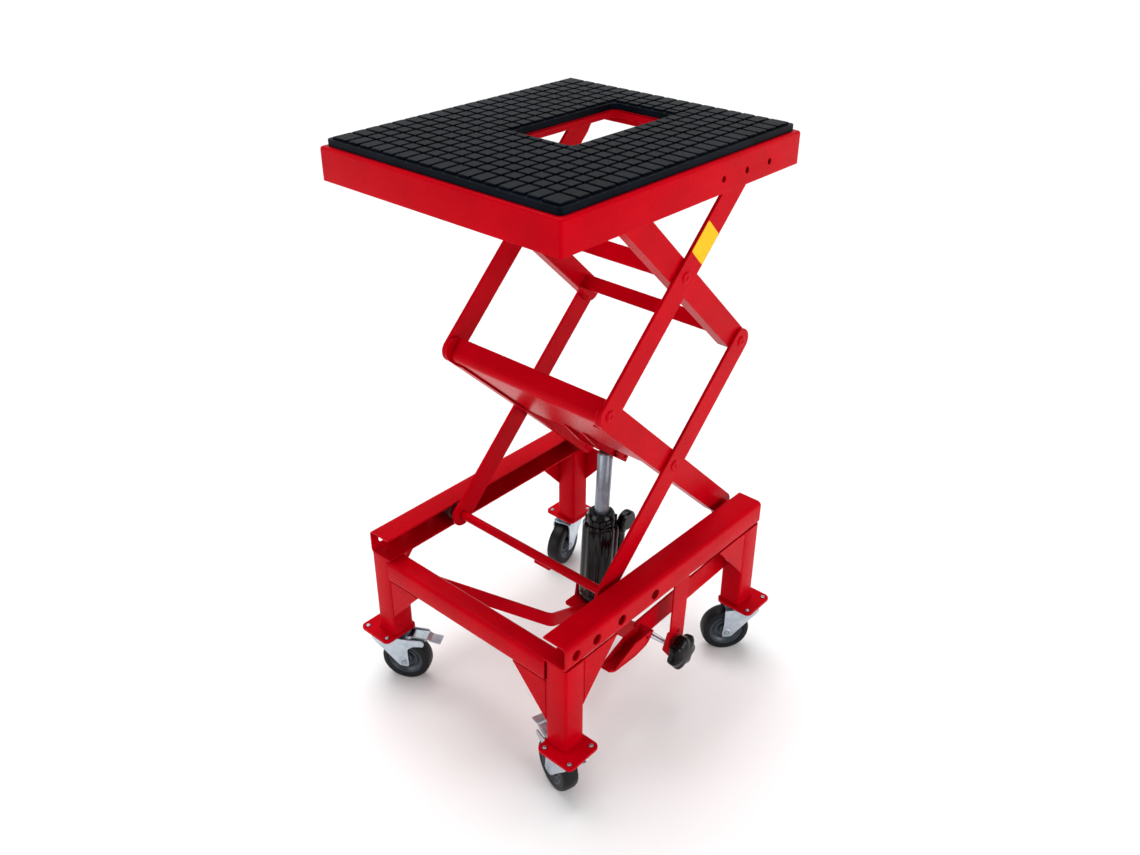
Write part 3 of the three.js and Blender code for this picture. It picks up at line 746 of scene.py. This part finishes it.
# glossy black phenolic moulding
gloss_plastic = surface("moulded_black_plastic", ("#030405", "#07080A"), (0.16, 0.24), 0.7,
                        0.004, 25, Specular_IOR_Level=0.16)
bm = bmesh.new()
grip = bmesh.new()
lobes = 7
lobe_ring = bmesh.ops.create_circle(grip, segments=lobes * 8, radius=1, cap_ends=True)["verts"]
grip_radius, lobe_depth = 24.6, 2.2
for i, v in enumerate(lobe_ring):
    v.co *= grip_radius + lobe_depth * math.cos(2 * math.pi * i / 8)
face = grip.faces[:]
grip_steps = ((2.5, 1.06), (6, 1.03), (3, 0.985), (3, 0.93), (2.6, 0.84), (1.9, 0.7), (0.9, 0.5))
for height, size in grip_steps:
    grown = bmesh.ops.extrude_face_region(grip, geom=face)["geom"]
    moved = [g for g in grown if isinstance(g, bmesh.types.BMVert)]
    bmesh.ops.translate(grip, verts=moved, vec=(0, 0, height))
    bmesh.ops.scale(grip, vec=(size, size, 1), verts=moved)
    if face[0].normal.z > 0.5:
        bmesh.ops.delete(grip, geom=face, context="FACES_ONLY")
    face = [g for g in grown if isinstance(g, bmesh.types.BMFace)]
on_knob_axis = Matrix.Translation((knob_at.x, knob_at.z, 0))
knob_back_y = -202.4
put(bm, grip, facing("y", knob_back_y, -1) @ on_knob_axis)
finished("release_knob", bm, "release_valve", gloss_plastic, ["release_knob"], 0.6)

bm = bmesh.new()
taper_y, tip_y, collar_y, jack_end_y = -128, -191.5, -120, -62
put(bm, rod(7, 64, 28, 3), facing("y", taper_y, -1) @ on_knob_axis)
put(bm, rod(3, 12, 24), facing("y", tip_y, -1) @ on_knob_axis)
put(bm, turned_ring([(0, 0), (8, 0), (9, 1.5), (9, 7), (7.4, 9), (0, 9)], 28),
    facing("y", collar_y, -1) @ on_knob_axis)
put(bm, rod(4.2, 60, 24), facing("y", jack_end_y, -1) @ on_knob_axis)
finished("release_rod", bm, "release_valve", zinc_plating, (), 0.3)


# ---- foot pedal ----
# A pressed steel pedal under the right rail, with a turned-up heel and side flanges for
# stiffness, painted with the frame.
bm = bmesh.new()
low, high = box_mm("foot_pedal")
pedal_line = [(low.x + 1, low.z + 11), (low.x + 12, low.z + 3), (high.x - 40, low.z + 1),
              (high.x - 14, low.z + 6), (high.x - 1, high.z - 4)]
put(bm, folded(pedal_line, 5, 3, high.y - low.y - 0.4, 5), facing("y", low.y + 0.2))
cheek = [(low.x + 14, low.z + 4), (high.x - 40, low.z + 2), (high.x - 15, low.z + 7),
         (high.x - 4, high.z - 4), (high.x - 42, high.z - 4)]
for y in (low.y + 0.4, high.y - 3):
    put(bm, blank(cheek, 2, 2.4, [(high.x - 14, high.z - 10, 3)]), facing("y", y))
finished("foot_pedal", bm, "pump_pedal", red_enamel, ["foot_pedal"], 0.5)


# ---- casters ----
# Bought-in swivel casters: pressed zinc-plated forks on a double ball race, rubber-treaded
# wheels on moulded hubs, and a sheet brake pedal on the front pair.

# black tyre rubber, worn to a slight sheen
tread_rubber = surface("tread_rubber", ("#07080B", "#0D0F13"), (0.36, 0.5), 0.8, 0.02, 30,
                       Specular_IOR_Level=0.2)
# moulded slate-grey polypropylene
hub_plastic = surface("hub_plastic", ("#262D36", "#323B46"), (0.32, 0.45), 0.7, 0.012, 30)
wheel_radius = 40
trail = 28
on_axle = Matrix.Translation((trail, wheel_radius, 0))
axle_washer = [(0, 0), (7, 0), (7.4, 0.5), (6.8, 0.9), (0, 0.9)]
on_brake_pin = Matrix.Translation((38, 85.8, 0))
brake_pin_head = [(0, 0), (3.2, 0), (3.2, 0.9), (2.2, 1.3), (0, 1.3)]
coil = [(3.2, 0), (4.4, 0), (4.4, 1.3), (3.2, 1.3)]
coil_turns, coil_pitch = 7, 2.4
for corner_name, (sx, sy) in corners.items():
    swivel_at = joint_at[f"{corner_name}_swivel_turn"]
    wheel_at = joint_at[f"{corner_name}_wheel_spin"]
    heading = math.atan2(wheel_at.y - swivel_at.y, wheel_at.x - swivel_at.x)
    caster = Matrix.Translation((swivel_at.x, swivel_at.y, 0)) @ Matrix.Rotation(heading, 4, "Z")

    bm = bmesh.new()
    race = [(0, 78.4), (13, 78.4), (19, 79.6), (21, 82.6), (24, 83.4), (24.2, 86.2), (21.6, 87),
            (23.4, 88), (23.2, 89.8), (0, 89.8)]
    put(bm, turned_ring(race, 48), caster)
    roof_end = 38 if sx < 0 else 31
    roof = [(-23, -17.2), (roof_end, -17.2), (roof_end, 17.2), (-23, 17.2)]
    put(bm, blank(roof, 4, 2.6), caster @ facing("z", 83.2))
    cheek = [(-25, 85.8), (-22, 78), (-7, 62), (trail - 8, 31), (trail + 7, 31),
             (33, 58), (33, 85.8)]
    if sx < 0:
        cheek[-2:] = [(34, 66), (44, 73.5), (62, 76), (62, 85.8)]
    for side in (1, -1):
        put(bm, blank(cheek, 3.4, 2.3), caster @ facing("y", side * 15.05, side))
        put(bm, hex_nut(11.5, 1.5, 3), caster @ facing("y", side * 17.2, side) @ on_axle)
        put(bm, turned_ring(axle_washer, 28), caster @ facing("y", side * 17, side) @ on_axle)
    put(bm, rod(4.8, 37.4), caster @ facing("y", -18.7) @ on_axle)
    finished(f"{corner_name}_fork", bm, f"{corner_name}_swivel", zinc_plating,
             [f"{corner_name}_fork"], 0.5)

    axle = caster @ facing("y", 0) @ on_axle
    bm = bmesh.new()
    half_tread = [(39.9, 4), (39.3, 8.5), (37.8, 11.6), (34.5, 12.9), (29, 13), (27.4, 12.4)]
    tread = [(r, -w) for r, w in reversed(half_tread)] + half_tread
    put(bm, turned_ring(tread, 72), axle)
    finished(f"{corner_name}_tyre", bm, f"{corner_name}_wheel", tread_rubber,
             [f"{corner_name}_wheel"], 0)
    bm = bmesh.new()
    half_hub = [(27.5, 12.2), (25.6, 12.2), (24.2, 9.6), (20.4, 7.4), (18.8, 9.4), (16.6, 9.8),
                (15.4, 7.4), (11.8, 6.6), (10.8, 11.8), (10, 12.6), (5.3, 12.6)]
    hub = half_hub + [(r, -w) for r, w in reversed(half_hub)]
    put(bm, turned_ring(hub, 56), axle)
    finished(f"{corner_name}_hub", bm, f"{corner_name}_wheel", hub_plastic, (), 0)

    if sx > 0:
        continue
    bm = bmesh.new()
    tread_line = [(42, 87.4), (66, 87.4), (70, 84.6), (88, 82)]
    put(bm, folded(tread_line, 2.2, 2, 20, 4), caster @ facing("y", -10))
    hanger = [(31, 82.4), (44, 82.4), (64, 84), (66, 87.6), (50, 91), (31, 89)]
    for side in (1, -1):
        put(bm, blank(hanger, 1.6, 1.8), caster @ facing("y", side * 10.4, side))
        put(bm, turned_ring(brake_pin_head, 20),
            caster @ facing("y", side * 12, side) @ on_brake_pin)
    put(bm, rod(2.2, 24, 16), caster @ facing("y", -12) @ on_brake_pin)
    finished(f"{corner_name}_brake_pedal", bm, f"{corner_name}_brake", zinc_plating,
             [f"{corner_name}_brake_pedal"], 0.3)
    bm = bmesh.new()
    for i in range(coil_turns):
        put(bm, turned_ring(coil, 20), caster @ facing("y", -8.4 + i * coil_pitch) @ on_brake_pin)
    put(bm, blank([(46, -8), (60, -8), (60, 8), (46, 8)], 3, 2.4), caster @ facing("z", 83.2))
    finished(f"{corner_name}_brake_spring", bm, f"{corner_name}_brake",
             black_enamel, (), 0)


# ---- deck tray ----
# One shallow tray pressed from sheet, with soft corners, a turned-in foot along each side
# and a rounded opening for reaching through. Three holes are punched near the rear of each side.
deck_low, deck_high = box_mm("deck_plate")
side_low = box_mm("deck_side_left")[0]
opening_x = (-53, 142)
opening_half = 48
bm = bmesh.new()
tray = bmesh.new()
bmesh.ops.create_cube(tray, size=1)
tray_size = (deck_high.x - deck_low.x, deck_high.y - deck_low.y, deck_high.z - side_low.z)
bmesh.ops.scale(tray, vec=tray_size, verts=tray.verts)
bmesh.ops.delete(tray, geom=[f for f in tray.faces if f.normal.z < -0.5], context="FACES_ONLY")
bends = [e for e in tray.edges if len(e.link_faces) == 2]
bmesh.ops.bevel(tray, geom=bends, offset=4, segments=5, profile=0.5, affect="EDGES", material=-1)
bmesh.ops.recalc_face_normals(tray, faces=tray.faces)
bmesh.ops.solidify(tray, geom=tray.faces[:], thickness=2)
tray_middle = ((deck_high.x + deck_low.x) / 2, 0, (deck_high.z + side_low.z) / 2)
put(bm, tray, Matrix.Translation(tray_middle))
for side in (1, -1):
    foot_strip = [(deck_low.x + 10, side * 160), (deck_high.x - 10, side * 160),
                  (deck_high.x - 10, side * 199.4), (deck_low.x + 10, side * 199.4)]
    put(bm, blank(foot_strip, 2, 2), facing("z", side_low.z + 0.1))
    put(bm, rod(12, 31, 28), facing("y", side * 168, side)
        @ Matrix.Translation((rear_x, top_z, 0)))
deck = finished("deck_tray", bm, "platform", red_enamel,
                ["deck_plate", "deck_side_left", "deck_side_right",
                 "deck_front_skirt", "deck_rear_skirt"], 0.4)
window = [(opening_x[0], -opening_half), (opening_x[1], -opening_half),
          (opening_x[1], opening_half), (opening_x[0], opening_half)]
side_hole_z = side_low.z + 18
side_hole_x = (51, 101, 151)
bits = [(blank(window, 10, 30), facing("z", deck_high.z - 15))]
bits += [(rod(4, 20), facing("y", side * 190, side) @ Matrix.Translation((x, side_hole_z, 0)))
         for side in (1, -1) for x in side_hole_x]
drill(deck, bits)

bm = bmesh.new()
lip = blank(window, 10, 1)
bmesh.ops.delete(lip, geom=[f for f in lip.faces if abs(f.normal.z) > 0.5], context="FACES_ONLY")
bmesh.ops.scale(lip, vec=(1, 1, 10), verts=lip.verts)
bmesh.ops.recalc_face_normals(lip, faces=lip.faces)
bmesh.ops.solidify(lip, geom=lip.faces[:], thickness=-1.8)
put(bm, lip, Matrix.Translation((0, 0, deck_high.z - 10.2)))
finished("deck_opening_lip", bm, "platform", red_enamel, (), 0.4)


# ---- rubber mat ----
# A black rubber mat moulded with rows of square blocks, longer ones round the border,
# laid in the tray with the same opening cut through it.

# matt black moulded rubber; the blue in its two shades and in its highlight tint is a painted cool
# reflection
mat_rubber = surface("moulded_mat_rubber", ("#04060B", "#090E16"), (0.28, 0.38), 1.8, 0.1, 45,
                     Specular_IOR_Level=0.04, Specular_Tint=(0.55, 0.78, 1.0, 1.0))
mat_low, mat_high = box_mm("rubber_mat")
groove = 3.2
border = 30
rim = 6
base_top = mat_high.z - 2.6
hole = (opening_x[0] - 2, -opening_half - 2, opening_x[1] + 2, opening_half + 2)
bm = bmesh.new()
base = bmesh.new()
mat_edge = (mat_low.x, mat_low.y, mat_high.x, mat_high.y)
for (x0, y0, x1, y1), radius in ((mat_edge, 7), (hole, 9)):
    loop = bmesh.new()
    corner_points = ((x0, y0, 0), (x1, y0, 0), (x1, y1, 0), (x0, y1, 0))
    loop.faces.new([loop.verts.new(c) for c in corner_points])
    bmesh.ops.bevel(loop, geom=loop.verts[:], offset=radius, segments=6, profile=0.5,
                    affect="VERTICES", material=-1)
    bmesh.ops.delete(loop, geom=loop.faces[:], context="FACES_ONLY")
    put(base, loop)
bmesh.ops.triangle_fill(base, edges=base.edges[:], use_beauty=True, use_dissolve=False)
grown = bmesh.ops.extrude_face_region(base, geom=base.faces[:])["geom"]
moved = [g for g in grown if isinstance(g, bmesh.types.BMVert)]
bmesh.ops.translate(base, verts=moved, vec=(0, 0, base_top - mat_low.z))
put(bm, base, Matrix.Translation((0, 0, mat_low.z)))
finished("mat_base", bm, "platform", mat_rubber, ["rubber_mat"], 1.2, 3)


def rows(low, high, count):
    """The ends of each block in a row: a border block, even blocks and a border block."""
    inner_low, inner_high = low + rim + border, high - rim - border
    pitch = (inner_high - inner_low + groove) / count
    spans = [(low + rim, inner_low - groove)]
    spans += [(inner_low + i * pitch, inner_low + (i + 1) * pitch - groove) for i in range(count)]
    return spans + [(inner_high + groove, high - rim)]


bm = bmesh.new()
blocks_long, blocks_wide = 18, 15
smallest_block = 4
block_root = 1.5
clear_x0, clear_y0, clear_x1, clear_y1 = hole[0] - rim, hole[1] - rim, hole[2] + rim, hole[3] + rim
for x0, x1 in rows(mat_low.x, mat_high.x, blocks_long):
    for y0, y1 in rows(mat_low.y, mat_high.y, blocks_wide):
        pieces = [(x0, y0, x1, y1)]
        if x1 > clear_x0 and x0 < clear_x1 and y1 > clear_y0 and y0 < clear_y1:
            left, right = max(x0, clear_x0), min(x1, clear_x1)
            pieces = [(x0, y0, min(x1, clear_x0), y1), (max(x0, clear_x1), y0, x1, y1),
                      (left, y0, right, min(y1, clear_y0)), (left, max(y0, clear_y1), right, y1)]
        for ax, ay, bx, by in pieces:
            if bx - ax < smallest_block or by - ay < smallest_block:
                continue
            block = bmesh.new()
            bmesh.ops.create_cube(block, size=1)
            block_size = (bx - ax, by - ay, mat_high.z - base_top + block_root)
            bmesh.ops.scale(block, vec=block_size, verts=block.verts)
            top_edges = [e for e in block.edges if min(v.co.z for v in e.verts) > 0]
            uprights = [e for e in block.edges if abs(e.verts[0].co.z - e.verts[1].co.z) > 0.1]
            bmesh.ops.bevel(block, geom=top_edges + uprights, offset=1.1, segments=1, profile=0.5,
                            affect="EDGES", material=-1)
            middle = ((ax + bx) / 2, (ay + by) / 2, (mat_high.z + base_top - block_root) / 2)
            put(bm, block, Matrix.Translation(middle))
finished("mat_blocks", bm, "platform", mat_rubber, (), 0)


# ---- plain label ----
# A small slanted patch of yellow film on the right upper arm, left blank.

# printed vinyl film, plain warm yellow
yellow_film = surface("yellow_film", ("#DFB200", "#E6BA00"), (0.25, 0.35), 3.0, 0.004, 30,
                      Specular_IOR_Level=0.1)
bm = bmesh.new()
centre_line = Vector((centre_x, (mid_z + top_z) / 2))
along = Vector((math.cos(slope), math.sin(slope)))
across = Vector((-along.y, along.x))
label_start, label_end, half_label = 30, 78, 17.5
label = [tuple(centre_line + along * a + across * c)
         for a, c in ((label_start, -half_label), (label_end, -half_label),
                      (label_end, half_label), (label_start, half_label))]
put(bm, blank(label, 2, 0.35), facing("y", -(outer_y + arm_sheet), -1))
finished("plain_label", bm, "upper_outer_frame", yellow_film, (), 0)


# ---- studio ----
# A plain pale floor, a gradient sky and broad soft lamps, so the enamel shows long gentle
# highlights and the shadows under the frame stay soft.
floor_mesh = bpy.data.meshes.new("floor")
bm = bmesh.new()
bmesh.ops.create_grid(bm, x_segments=1, y_segments=1, size=80)
bm.to_mesh(floor_mesh)
bm.free()
floor = bpy.data.objects.new("floor", floor_mesh)
bpy.context.scene.collection.objects.link(floor)
# matt white studio card
pale_card = surface("pale_floor", ("#F5F5F5", "#F6F6F6"), (0.75, 0.8), 30.0, 0.001, 4000)
floor_mesh.materials.append(pale_card)

world = bpy.data.worlds.new("studio")
bpy.context.scene.world = world
world.use_nodes = True
height = add_node(world, "ShaderNodeSeparateXYZ", {
    "Vector": add_node(world, "ShaderNodeTexCoord").outputs["Generated"]}).outputs["Z"]
glow = add_node(world, "ShaderNodeMapRange", {
    "Value": height, "From Min": 0.0, "From Max": 0.5, "To Min": 0.9, "To Max": 0.35})
sky = world.node_tree.nodes["Background"]
sky.inputs["Color"].default_value = (1, 1, 1, 1)
world.node_tree.links.new(glow.outputs["Result"], sky.inputs["Strength"])

noon = bpy.data.lights.new("ceiling", "SUN")
noon.energy = 2.4
noon.angle = math.radians(50)
ceiling = bpy.data.objects.new("ceiling", noon)
forward_tilt = Matrix.Rotation(math.radians(-14), 4, "X")
ceiling.matrix_world = forward_tilt @ Matrix.Rotation(math.radians(8), 4, "Y")
bpy.context.scene.collection.objects.link(ceiling)


def lamp(name, place, aim, size, power):
    """A rectangular soft lamp at a place, aimed at a point."""
    data = bpy.data.lights.new(name, "AREA")
    data.shape = "RECTANGLE"
    data.size, data.size_y = size
    data.energy = power
    light = bpy.data.objects.new(name, data)
    bpy.context.scene.collection.objects.link(light)
    direction = Vector(aim) - Vector(place)
    turned = direction.to_track_quat("-Z", "Y").to_matrix().to_4x4()
    light.matrix_world = Matrix.Translation(place) @ turned


lamp("left_fill", (-2.6, 0.9, 1.2), (0, 0, 0.5), (1.6, 1.6), 22)
lamp("right_key", (0.2, -2.8, 1.1), (0, 0, 0.45), (1.8, 1.4), 36)
